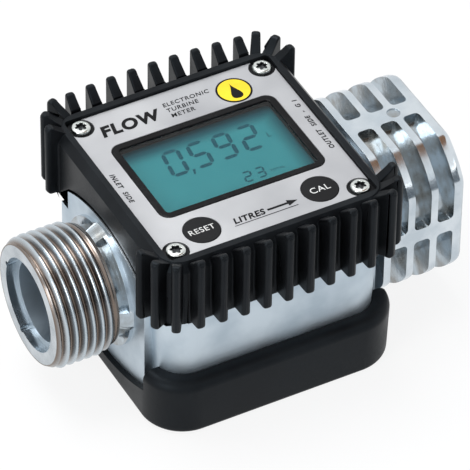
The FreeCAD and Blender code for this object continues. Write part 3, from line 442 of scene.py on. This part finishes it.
clear_acrylic = bpy.data.materials.new("clear_acrylic_window")
clear_acrylic.use_nodes = True
tree = clear_acrylic.node_tree
tree.nodes.clear()
place = add(tree, "ShaderNodeTexCoord").outputs["Object"]
film = add(tree, "ShaderNodeTexNoise", {"Vector": place, "Scale": 1 / (9 * MM), "Detail": 3.0})
haze = add(tree, "ShaderNodeMapRange", {"Value": film.outputs["Fac"], 3: 0.03, 4: 0.12})
through = add(tree, "ShaderNodeBsdfTransparent", {0: linear("#e9f2f1")})
sheen = add(tree, "ShaderNodeBsdfGlossy", {"Color": linear("#ffffff"),
                                           "Roughness": haze.outputs[0]})
grazing = add(tree, "ShaderNodeFresnel", {"IOR": 1.35})
inside = add(tree, "ShaderNodeNewGeometry").outputs["Backfacing"]
outer_gloss = add(tree, "ShaderNodeMixRGB", {0: inside, 1: grazing.outputs[0],
                                             2: linear("#000000")})
pane = add(tree, "ShaderNodeMixShader", {0: outer_gloss.outputs[0], 1: through.outputs[0],
                                         2: sheen.outputs[0]})
add(tree, "ShaderNodeOutputMaterial", {0: pane.outputs[0]})

# %% [markdown]
# ### Dressing the frame
# Most nodes keep their own mesh, since their shape is right, and only take a finish.

# %% Dress the plain nodes
for name, material in {
        "inlet_straightener": grey_acetal, "outlet_straightener": grey_acetal,
        "inlet_bearing": bronze, "outlet_bearing": bronze, "turbine_rotor": white_acetal,
        "rotor_shaft": ground_steel, "rotor_magnets": magnet_metal,
        "retaining_ring": spring_steel_and_recess_shade, "housing_gasket": gasket_foam,
        "display_housing": matt_abs, "circuit_board": circuit_lacquer, "board_screws": zinc_steel,
        "pulse_sensor": clear_acrylic, "tact_switches": matt_abs, "connector_strips": zebra_rubber,
        "lcd_holder": matt_abs, "lcd_module": display_glass, "window_frame": gloss_abs,
        "display_window": clear_acrylic, "face_plate": satin_plate, "reset_button": matt_abs,
        "cal_button": matt_abs, "housing_screws": zinc_steel, "battery_tray": grey_pp,
        "front_battery": cell_wrap, "rear_battery": cell_wrap, "battery_contacts": nickel_plate,
        "finned_shroud": rubber, "base_boot": boot_rubber, "meter_body": cast_aluminium}.items():
    wear(name, material)
print("nodes dressed:", len(nodes))

# %% [markdown]
# ## Softened copies
# No cast or moulded edge is truly sharp, and it is the thin bright line along an edge that tells
# the eye so. The frame's meshes are loose triangles with hard edges. A copy of one is merged into
# a closed skin, flat triangles are joined back into whole faces, and a narrow Bevel rounds what
# turns sharply. The copy then stands in for its node, which is hidden.

# %% Merge, soften and place
def merged_mesh(name):
    """One closed skin from a frame node: doubles merged, then faces in one plane joined."""
    work = bmesh.new()
    work.from_mesh(nodes[name].data)
    bmesh.ops.remove_doubles(work, verts=work.verts, dist=0.002 * MM)
    bmesh.ops.dissolve_limit(work, angle_limit=math.radians(0.5), verts=work.verts,
                             edges=work.edges)
    mesh = bpy.data.meshes.new(name + "_skin")
    work.to_mesh(mesh)
    work.free()
    if "custom_normal" in mesh.attributes:
        mesh.attributes.remove(mesh.attributes["custom_normal"])
    return mesh


def place_piece(name, mesh, body, materials, stands_for=(), bevel=0.0, sharp=32, steps=2):
    """Link a finished mesh, smooth it up to the sharp angle, bevel it in millimetres and let it
    ride on its body. Edge weights, where the mesh has them, scale the bevel's width."""
    mesh.materials.clear()
    for material in materials:
        mesh.materials.append(material)
    mesh.shade_smooth()
    mesh.set_sharp_from_angle(angle=math.radians(sharp))
    piece = bpy.data.objects.new(name, mesh)
    scene.collection.objects.link(piece)
    if bevel:
        soft = piece.modifiers.new("edge_break", "BEVEL")
        soft.width = bevel * MM
        soft.segments = steps
        soft.limit_method = "ANGLE"
        soft.angle_limit = math.radians(sharp)
        soft.harden_normals = True
        if "bevel_weight_edge" in mesh.attributes:
            soft.limit_method = "WEIGHT"
            soft.use_clamp_overlap = False
    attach(piece, body)
    if stands_for:
        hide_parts(*stands_for)
    print(name, "faces", len(mesh.polygons))
    return piece


FIN_ROOT = 30.6
ARCH_HALF = 20


def weigh_edges(mesh, on_fins, elsewhere):
    """Bevel weights for the sharp edges: one for the fins, which stand past their root's distance
    from the middle and clear of the arches over the pipe ends, and one for everything else."""
    work = bmesh.new()
    work.from_mesh(mesh)
    weight = work.edges.layers.float.new("bevel_weight_edge")
    for edge in work.edges:
        middle_point = (edge.verts[0].co + edge.verts[1].co) / 2 / MM
        x, y = abs(middle_point.x), abs(middle_point.y)
        if edge.calc_face_angle(0) > math.radians(32):
            edge[weight] = on_fins if max(x, y) > FIN_ROOT and y > ARCH_HALF else elsewhere
    work.to_mesh(mesh)
    work.free()
    return mesh


place_piece("shroud_skin", weigh_edges(merged_mesh("finned_shroud"), 1.0, 0.2), "meter",
            [rubber], ["finned_shroud"], bevel=0.5, steps=3)
place_piece("boot_skin", merged_mesh("base_boot"), "meter", [boot_rubber], ["base_boot"],
            bevel=0.2)
place_piece("frame_skin", merged_mesh("window_frame"), "meter", [gloss_abs], ["window_frame"],
            bevel=0.3)
for side in ("reset", "cal"):
    place_piece(side + "_cap", merged_mesh(side + "_button"), side, [matt_abs], [side + "_button"],
                bevel=0.15)

# %% [markdown]
# ## Cut threads
# Both ends carry a one-inch pipe thread: eleven turns to the inch, flanks at 55 degrees, crests
# and roots rounded. The frame has plain cylinders there. A thread could be cut with a Boolean,
# but a surface worked out directly is cleaner: go round the axis and along it, and let the radius
# rise and fall once a turn. The body's copy is turned down a little under it, so that the
# threaded sleeve is the only surface at that place.

# %% Threaded sleeves
PITCH = 25.4 / 11
MAJOR, MINOR = 16.62, 15.15
MALE_HIDDEN, FEMALE_HIDDEN = 15.0, 16.85   # where the sleeves meet the turned-down body
COLUMNS, ROWS_PER_PITCH = 240, 14


def ring_mesh(name, rings, closed_ends=False):
    """Rings of points joined by quads, as many points in each. Closed ends join last to first."""
    rows, columns = rings.shape[:2]
    if closed_ends:
        rings = np.concatenate([rings, rings[:1]])
        rows += 1
    index = np.arange(rows * columns).reshape(rows, columns)
    beside = np.roll(index, -1, axis=1)
    quads = np.stack([index[:-1], beside[:-1], beside[1:], index[1:]], axis=-1).reshape(-1, 4)
    mesh = bpy.data.meshes.new(name)
    mesh.from_pydata((rings.reshape(-1, 3) * MM).tolist(), [], quads.tolist())
    work = bmesh.new()
    work.from_mesh(mesh)
    bmesh.ops.remove_doubles(work, verts=work.verts, dist=0.0005 * MM)
    bmesh.ops.recalc_face_normals(work, faces=work.faces)
    work.to_mesh(mesh)
    work.free()
    return mesh


def thread_share(turns):
    """0 at a root, 1 at a crest: straight flanks between a blunt crest and a blunt root."""
    away = np.abs(turns % 1.0 - 0.5) * 2
    return np.interp(away, [0, 0.12, 0.22, 0.78, 0.9, 1], [1, 0.98, 0.88, 0.12, 0.02, 0])


def threaded_sleeve(start, end, hidden_r, limit, fade_from):
    """Radius = minor + share of the thread's depth at (x / pitch - angle / full turn), fading out
    over a turn and a half, and kept inside or outside the limit line of the end's chamfer."""
    x = np.linspace(start, end, int(abs(end - start) / PITCH * ROWS_PER_PITCH))
    angle = np.linspace(0, 2 * np.pi, COLUMNS, endpoint=False)
    along, turn = np.meshgrid(x, angle, indexing="ij")
    radius = MINOR + (MAJOR - MINOR) * thread_share(along / PITCH - turn / (2 * np.pi))
    fade = np.clip(1 - np.abs(along - fade_from) / (1.5 * PITCH), 0, 1)
    radius = limit(along, radius * (1 - fade) + MINOR * fade)
    skin = np.stack([along, radius * np.cos(turn), AXIS + radius * np.sin(turn)], axis=-1)
    closing = [np.stack([np.full(COLUMNS, place), hidden_r * np.cos(angle),
                         AXIS + hidden_r * np.sin(angle)], axis=-1) for place in (end, start)]
    return np.concatenate([skin, np.stack(closing)])


male_end = INLET_END + 16.6
female_start = OUTLET_END - 19.5
nose_r, nose_rise = MAJOR - 1.4, 0.6       # the inlet's long lead-in
mouth_r = MAJOR + 0.1                      # the outlet's 45 degree countersink
male = threaded_sleeve(INLET_END, male_end + 0.02, MALE_HIDDEN,
                       lambda x, r: np.minimum(r, nose_r + nose_rise * (x - INLET_END)), male_end)
female = threaded_sleeve(female_start, OUTLET_END, FEMALE_HIDDEN,
                         lambda x, r: np.maximum(r, mouth_r - (OUTLET_END - x)), female_start)
place_piece("inlet_thread_cut", ring_mesh("inlet_thread_cut", male, True), "meter",
            [thread_aluminium], sharp=60)
place_piece("outlet_thread_cut", ring_mesh("outlet_thread_cut", female, True), "meter",
            [turned_aluminium], sharp=60)

# %% Body copy with four finishes
body_mesh = merged_mesh("meter_body")
count = len(body_mesh.vertices)
points = np.empty(count * 3)
body_mesh.vertices.foreach_get("co", points)
points = points.reshape(-1, 3) / MM
radius = np.hypot(points[:, 1], points[:, 2] - AXIS)
on_male = (points[:, 0] < male_end + 0.05) & (radius > MALE_HIDDEN + 0.02)
on_female = (points[:, 0] > female_start - 0.05) & (np.abs(radius - MINOR) < 0.05)
scale = np.where(on_male, MALE_HIDDEN / radius, np.where(on_female, FEMALE_HIDDEN / radius, 1.0))
points[:, 1] *= scale
points[:, 2] = AXIS + (points[:, 2] - AXIS) * scale
body_mesh.vertices.foreach_set("co", (points * MM).ravel())

place_piece("body_skin", body_mesh, "meter",
            [cast_aluminium, milled_aluminium, turned_aluminium, pocket_shade_aluminium],
            ["meter_body"], bevel=0.22)
centres = np.empty(len(body_mesh.polygons) * 3)
normals = np.empty(len(body_mesh.polygons) * 3)
body_mesh.polygons.foreach_get("center", centres)
body_mesh.polygons.foreach_get("normal", normals)
centres, normals = centres.reshape(-1, 3) / MM, normals.reshape(-1, 3)
reach = np.hypot(centres[:, 1], centres[:, 2] - AXIS)
centre_x = centres[:, 0]

BLOCK_HALF, BLOCK_REACH = 31.5, 16.6       # the block's milled sides
BORE_REACH = 14.2                          # what lies nearer to the axis is bored
COLLAR_START, NECK_END = 34.2, -31
in_collar_pocket = (reach > 17.2) & (reach < 20.9)
in_neck_slot = (reach > 13.3) & (reach < 15.9)

kind = np.zeros(len(centres), dtype=np.int32)
kind[(np.abs(centre_x) < BLOCK_HALF) & (np.abs(normals[:, 2]) < 0.5) & (reach > BLOCK_REACH)] = 1
kind[reach < BORE_REACH] = 1
kind[(centre_x < INLET_END + 1.5) | (centre_x > OUTLET_END - 0.1)] = 2
# Kind 3 is painted shade: a darker grey in the collar's pockets and in the slot by the neck.
kind[(centre_x > COLLAR_START) & (centre_x < OUTLET_END - 0.8) & in_collar_pocket] = 3
kind[(centre_x > male_end - 1) & (centre_x < NECK_END) & in_neck_slot] = 3
body_mesh.polygons.foreach_set("material_index", kind)
print("body faces cast, milled, turned, pocket:", np.bincount(kind).tolist())

# %% [markdown]
# ## Screws
# Four plated screws with a six-lobe drive hold the head down. The frame's screws are plain
# cylinders. A new screw is one stack of closed rings: the drive's outline is a circle whose radius
# swells six times a turn, the rings go down its wall, over the domed rim and down the shank.

# %% Six-lobe screws
low, high = span("housing_screws")
screw_mesh = nodes["housing_screws"].data
screw_points = np.empty(len(screw_mesh.vertices) * 3)
screw_mesh.vertices.foreach_get("co", screw_points)
screw_points = screw_points.reshape(-1, 3) / MM
HEAD_TOP, SHANK_END = float(high[2]), float(low[2])
front_right = screw_points[(screw_points[:, 0] > 0) & (screw_points[:, 1] < 0)]
SCREW_X, SCREW_Y = (float(np.mean([front_right[:, k].min(), front_right[:, k].max()]))
                    for k in (0, 1))
HEAD_R = float(np.ptp(front_right[:, 0])) / 2
SHANK_R = 1.5
RECESS_R, RECESS_TOP, RECESS_FLOOR = 1.7, 0.15, 1.2   # the drive, with depths below the head's top
print("screw at", round(SCREW_X, 2), round(SCREW_Y, 2), "head radius", round(HEAD_R, 2))


def screw_rings(turn):
    """Rings from the middle of the drive to the point. Each is (share of the lobed outline, plain
    radius, depth below the head's top): radius = share * outline, or the plain radius."""
    angle = np.linspace(0, 2 * np.pi, 96, endpoint=False)
    outline = 1.28 + 0.24 * np.cos(6 * (angle + turn)) - 0.03 * np.cos(12 * (angle + turn))
    length = HEAD_TOP - SHANK_END
    steps = [(0, 0, 1.0), (0.6, 0, 1.0), (0.93, 0, 0.95), (0.97, 0, 0.14), (1.04, 0, 0.04),
             (0, 1.75, 0.02), (0, 1.98, 0.07), (0, 2.2, 0.2), (0, 2.34, 0.38),
             (0, HEAD_R, 0.62), (0, HEAD_R, 1.3), (0, SHANK_R, 1.3), (0, SHANK_R, length - 0.6),
             (0, 1.0, length), (0, 0, length)]
    rings = []
    for share, plain, depth in steps:
        radius = outline * share if share else np.full(len(angle), plain)
        rings.append(np.stack([radius * np.cos(angle), radius * np.sin(angle),
                               np.full(len(angle), HEAD_TOP - depth)], axis=-1))
    return np.stack(rings)


for corner, (side_x, side_y) in enumerate(((1, -1), (1, 1), (-1, 1), (-1, -1))):
    name = "screw_%d" % (corner + 1)
    middle_x, middle_y = side_x * SCREW_X, side_y * SCREW_Y
    rings = screw_rings(turn=0.7 * corner) + (middle_x, middle_y, 0)
    screw = place_piece(name, ring_mesh(name, rings), "meter", [zinc_steel, spring_steel_and_recess_shade],
                        ["housing_screws"], sharp=38)
    # The drive's recess walls get the dark steel finish as painted shade.
    dark = []
    for face in screw.data.polygons:
        depth = HEAD_TOP - face.center.z / MM
        away = math.hypot(face.center.x / MM - middle_x, face.center.y / MM - middle_y)
        dark.append(int(RECESS_TOP < depth < RECESS_FLOOR and away < RECESS_R))
    screw.data.polygons.foreach_set("material_index", dark)

# %% [markdown]
# ## Printing
# The label and the buttons carry plain lettering that says what a thing does: the kind of
# instrument, the flow's direction, inlet and outlet, reset and calibrate. A screen print stands a
# few hundredths of a millimetre proud. Text starts as a font outline, is made a mesh at once, and
# only then is it turned and moved, so the finished object keeps to the frame's own origin.

# %% Inks
black_ink = finish("black_screen_ink", "#0c0c0e", "#121214", 0.0, 0.3, 0.45, 4, 0.3, 0.002,
                   **{"Specular IOR Level": 0.1})
white_ink = finish("white_pad_print", "#e2e2e0", "#cfcfcc", 0.0, 0.4, 0.55, 4, 0.3, 0.002)
yellow_ink = finish("yellow_screen_ink", "#f5d81c", "#ecca12", 0.0, 0.3, 0.42, 5, 0.3, 0.002)
segment_ink = finish("dark_liquid_crystal", "#1d5666", "#235f6e", 0.0, 0.2, 0.3, 6, 0.5, 0.001,
                     **{"Specular IOR Level": 0.06})


# %% Lettering
INK_HALF = 0.02                            # half the thickness of printed lettering
FILM, LIFT = 0.03, 0.01                    # a printed shape's thickness and its gap to the base


def lettering(name, text, height, centre, level, ink, turn=0, slant=0.0, weight=0.0, spread=1.0,
              body="meter"):
    """A line of text as a thin mesh: capital height and centre in millimetres, turn in degrees."""
    font = bpy.data.curves.new(name + "_font", "FONT")
    font.body = text
    font.size = 1.0
    font.shear = slant
    font.offset = weight
    font.space_character = spread
    font.extrude = INK_HALF
    holder = bpy.data.objects.new(name + "_outline", font)
    scene.collection.objects.link(holder)
    bpy.context.view_layer.update()
    graph = bpy.context.evaluated_depsgraph_get()
    mesh = bpy.data.meshes.new_from_object(holder.evaluated_get(graph))
    bpy.data.objects.remove(holder)
    spots = np.empty(len(mesh.vertices) * 3)
    mesh.vertices.foreach_get("co", spots)
    spots = spots.reshape(-1, 3)
    low, high = spots.min(axis=0), spots.max(axis=0)
    scale = height / (high[1] - low[1])
    flat = (spots[:, :2] - (low[:2] + high[:2]) / 2) * scale
    angle = math.radians(turn)
    spin = np.array([[math.cos(angle), math.sin(angle)], [-math.sin(angle), math.cos(angle)]])
    placed = np.column_stack([flat @ spin + centre, level + INK_HALF + spots[:, 2]]) * MM
    mesh.vertices.foreach_set("co", placed.ravel())
    mesh.name = name
    place_piece(name, mesh, body, [ink], sharp=40)


def plates(name, outlines, level, ink):
    """Thin printed shapes: each closed outline, in millimetres, gets a top, a bottom and a wall."""
    points, faces, start = [], [], 0
    for outline in outlines:
        ring = np.asarray(outline, float)
        count = len(ring)
        points += [np.column_stack([ring, np.full(count, height)])
                   for height in (level + LIFT + FILM, level + LIFT)]
        top = np.arange(count) + start
        after = np.roll(top, -1)
        faces += [top.tolist(), (top[::-1] + count).tolist()]
        faces += np.stack([top, after, after + count, top + count], axis=1).tolist()
        start += 2 * count
    mesh = bpy.data.meshes.new(name)
    mesh.from_pydata((np.concatenate(points) * MM).tolist(), [], faces)
    work = bmesh.new()
    work.from_mesh(mesh)
    bmesh.ops.recalc_face_normals(work, faces=work.faces)
    work.to_mesh(mesh)
    work.free()
    place_piece(name, mesh, "meter", [ink], sharp=40)


# %% Label print
lettering("label_flow", "FLOW", 4.0, (-13.0, 20.8), PLATE_TOP, black_ink, slant=0.18, weight=0.045,
          spread=1.12)
for line, (word, middle_x, y) in enumerate((("ELECTRONIC", 2.9, 22.9), ("TURBINE", 1.0, 20.8),
                                            ("METER", 0.0, 18.7))):
    lettering("label_line_%d" % (line + 1), word, 1.35, (middle_x, y), PLATE_TOP, black_ink,
              slant=0.15, weight=0.012, spread=1.16)
lettering("label_inlet", "INLET  SIDE", 1.3, (-25.6, 0.8), PLATE_TOP, black_ink, turn=-90,
          slant=0.15, weight=0.03, spread=1.25)
lettering("label_outlet", "OUTLET  SIDE  -  G 1", 1.3, (25.6, 0.6), PLATE_TOP, black_ink, turn=90,
          slant=0.15, weight=0.03, spread=1.25)
lettering("label_litres", "LITRES", 2.0, (-3.6, -21.6), PLATE_TOP, black_ink, slant=0.18,
          weight=0.035, spread=1.1)
arrow = np.array([(0.6, -0.3), (6.0, -0.3), (6.0, -1.0), (8.6, 0), (6.0, 1.0), (6.0, 0.3),
                  (0.6, 0.3)])
underline = [(-8.2, -23.3), (8.6, -23.3), (8.6, -23.1), (-8.2, -23.1)]
plates("label_arrow", [arrow + (0.6, -21.6), underline], PLATE_TOP, black_ink)

turn = np.linspace(0, 2 * np.pi, 64, endpoint=False)
circle = np.stack([np.cos(turn), np.sin(turn)], axis=1)
BADGE = (14.6, 20.2)
plates("badge_rim", [circle * 4.5 + BADGE], PLATE_TOP, black_ink)
plates("badge_field", [circle * 4.0 + BADGE], PLATE_TOP + 0.02, yellow_ink)
lean = np.sin(turn / 2) ** 3
drop = np.stack([2.5 * np.sin(turn) * lean, 0.4 + 3.0 * np.cos(turn)], axis=1)
plates("badge_drop", [drop + BADGE - (0, 0.5)], PLATE_TOP + 0.04, black_ink)
SUNK = 0.005                               # the button words sit this far into the cap
lettering("button_reset", "RESET", 1.7,
          tuple((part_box("reset_button")[0][k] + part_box("reset_button")[1][k]) / 2 / MM
                for k in (0, 1)), BUTTON_TOP - SUNK, white_ink, spread=1.08, body="reset")
lettering("button_cal", "CAL", 1.9,
          tuple((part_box("cal_button")[0][k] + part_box("cal_button")[1][k]) / 2 / MM
                for k in (0, 1)), BUTTON_TOP - SUNK, white_ink, spread=1.08, body="cal")

# %% [markdown]
# ### Reading
# The display shows a volume on seven-segment figures that lean a little, and a small total under
# it. A figure is worked out from its list of lit segments: every segment is the same pointed bar,
# upright or level, and the whole figure is then sheared.

# %% Seven-segment figures
LIT = {"0": "abcdef", "1": "bc", "2": "abged", "3": "abgcd", "4": "fgbc", "5": "afgcd",
       "6": "afgedc", "7": "abc", "8": "abcdefg", "9": "abcdfg"}


def figure(code, left, foot, width, height, bar, lean):
    """Outlines of the lit segments: pointed bars between the six corners of a figure eight."""
    gap = bar * 0.16
    x0, x1 = bar / 2, width - bar / 2
    y0, y1, y2 = bar / 2, height / 2, height - bar / 2
    ends = {"a": ((x0, y2), (x1, y2)), "b": ((x1, y1), (x1, y2)), "c": ((x1, y0), (x1, y1)),
            "d": ((x0, y0), (x1, y0)), "e": ((x0, y0), (x0, y1)), "f": ((x0, y1), (x0, y2)),
            "g": ((x0, y1), (x1, y1))}
    outlines = []
    for segment in LIT[code]:
        start, end = (np.array(spot, float) for spot in ends[segment])
        along = (end - start) / np.linalg.norm(end - start)
        across = np.array([-along[1], along[0]]) * bar / 2
        start, end = start + along * gap, end - along * gap
        point = along * bar / 2
        shape = np.array([start, start + point - across, end - point - across, end,
                          end - point + across, start + point + across])
        shape[:, 0] += lean * shape[:, 1]
        outlines.append(shape + (left, foot))
    return outlines


segments = []
for place, code in zip((-12.0, -5.4, 1.3, 8.0), "0592"):
    segments += figure(code, place, 0.8, 4.9, 9.3, 1.05, 0.12)
for place, code in zip((2.6, 6.0), "23"):
    segments += figure(code, place, -8.7, 2.4, 3.8, 0.5, 0.12)
comma = np.array([(-6.5, 1.4), (-6.9, -0.3), (-6.45, -0.3), (-5.8, 1.4)])
plates("display_figures", segments + [comma], GLASS_TOP, segment_ink)
lettering("display_unit", "L", 1.6, (15.6, 4.4), GLASS_TOP, segment_ink, slant=0.12)
lettering("display_total", "TOTAL", 0.8, (11.6, -7.4), GLASS_TOP, segment_ink, spread=1.1)
print("display segments", len(segments))
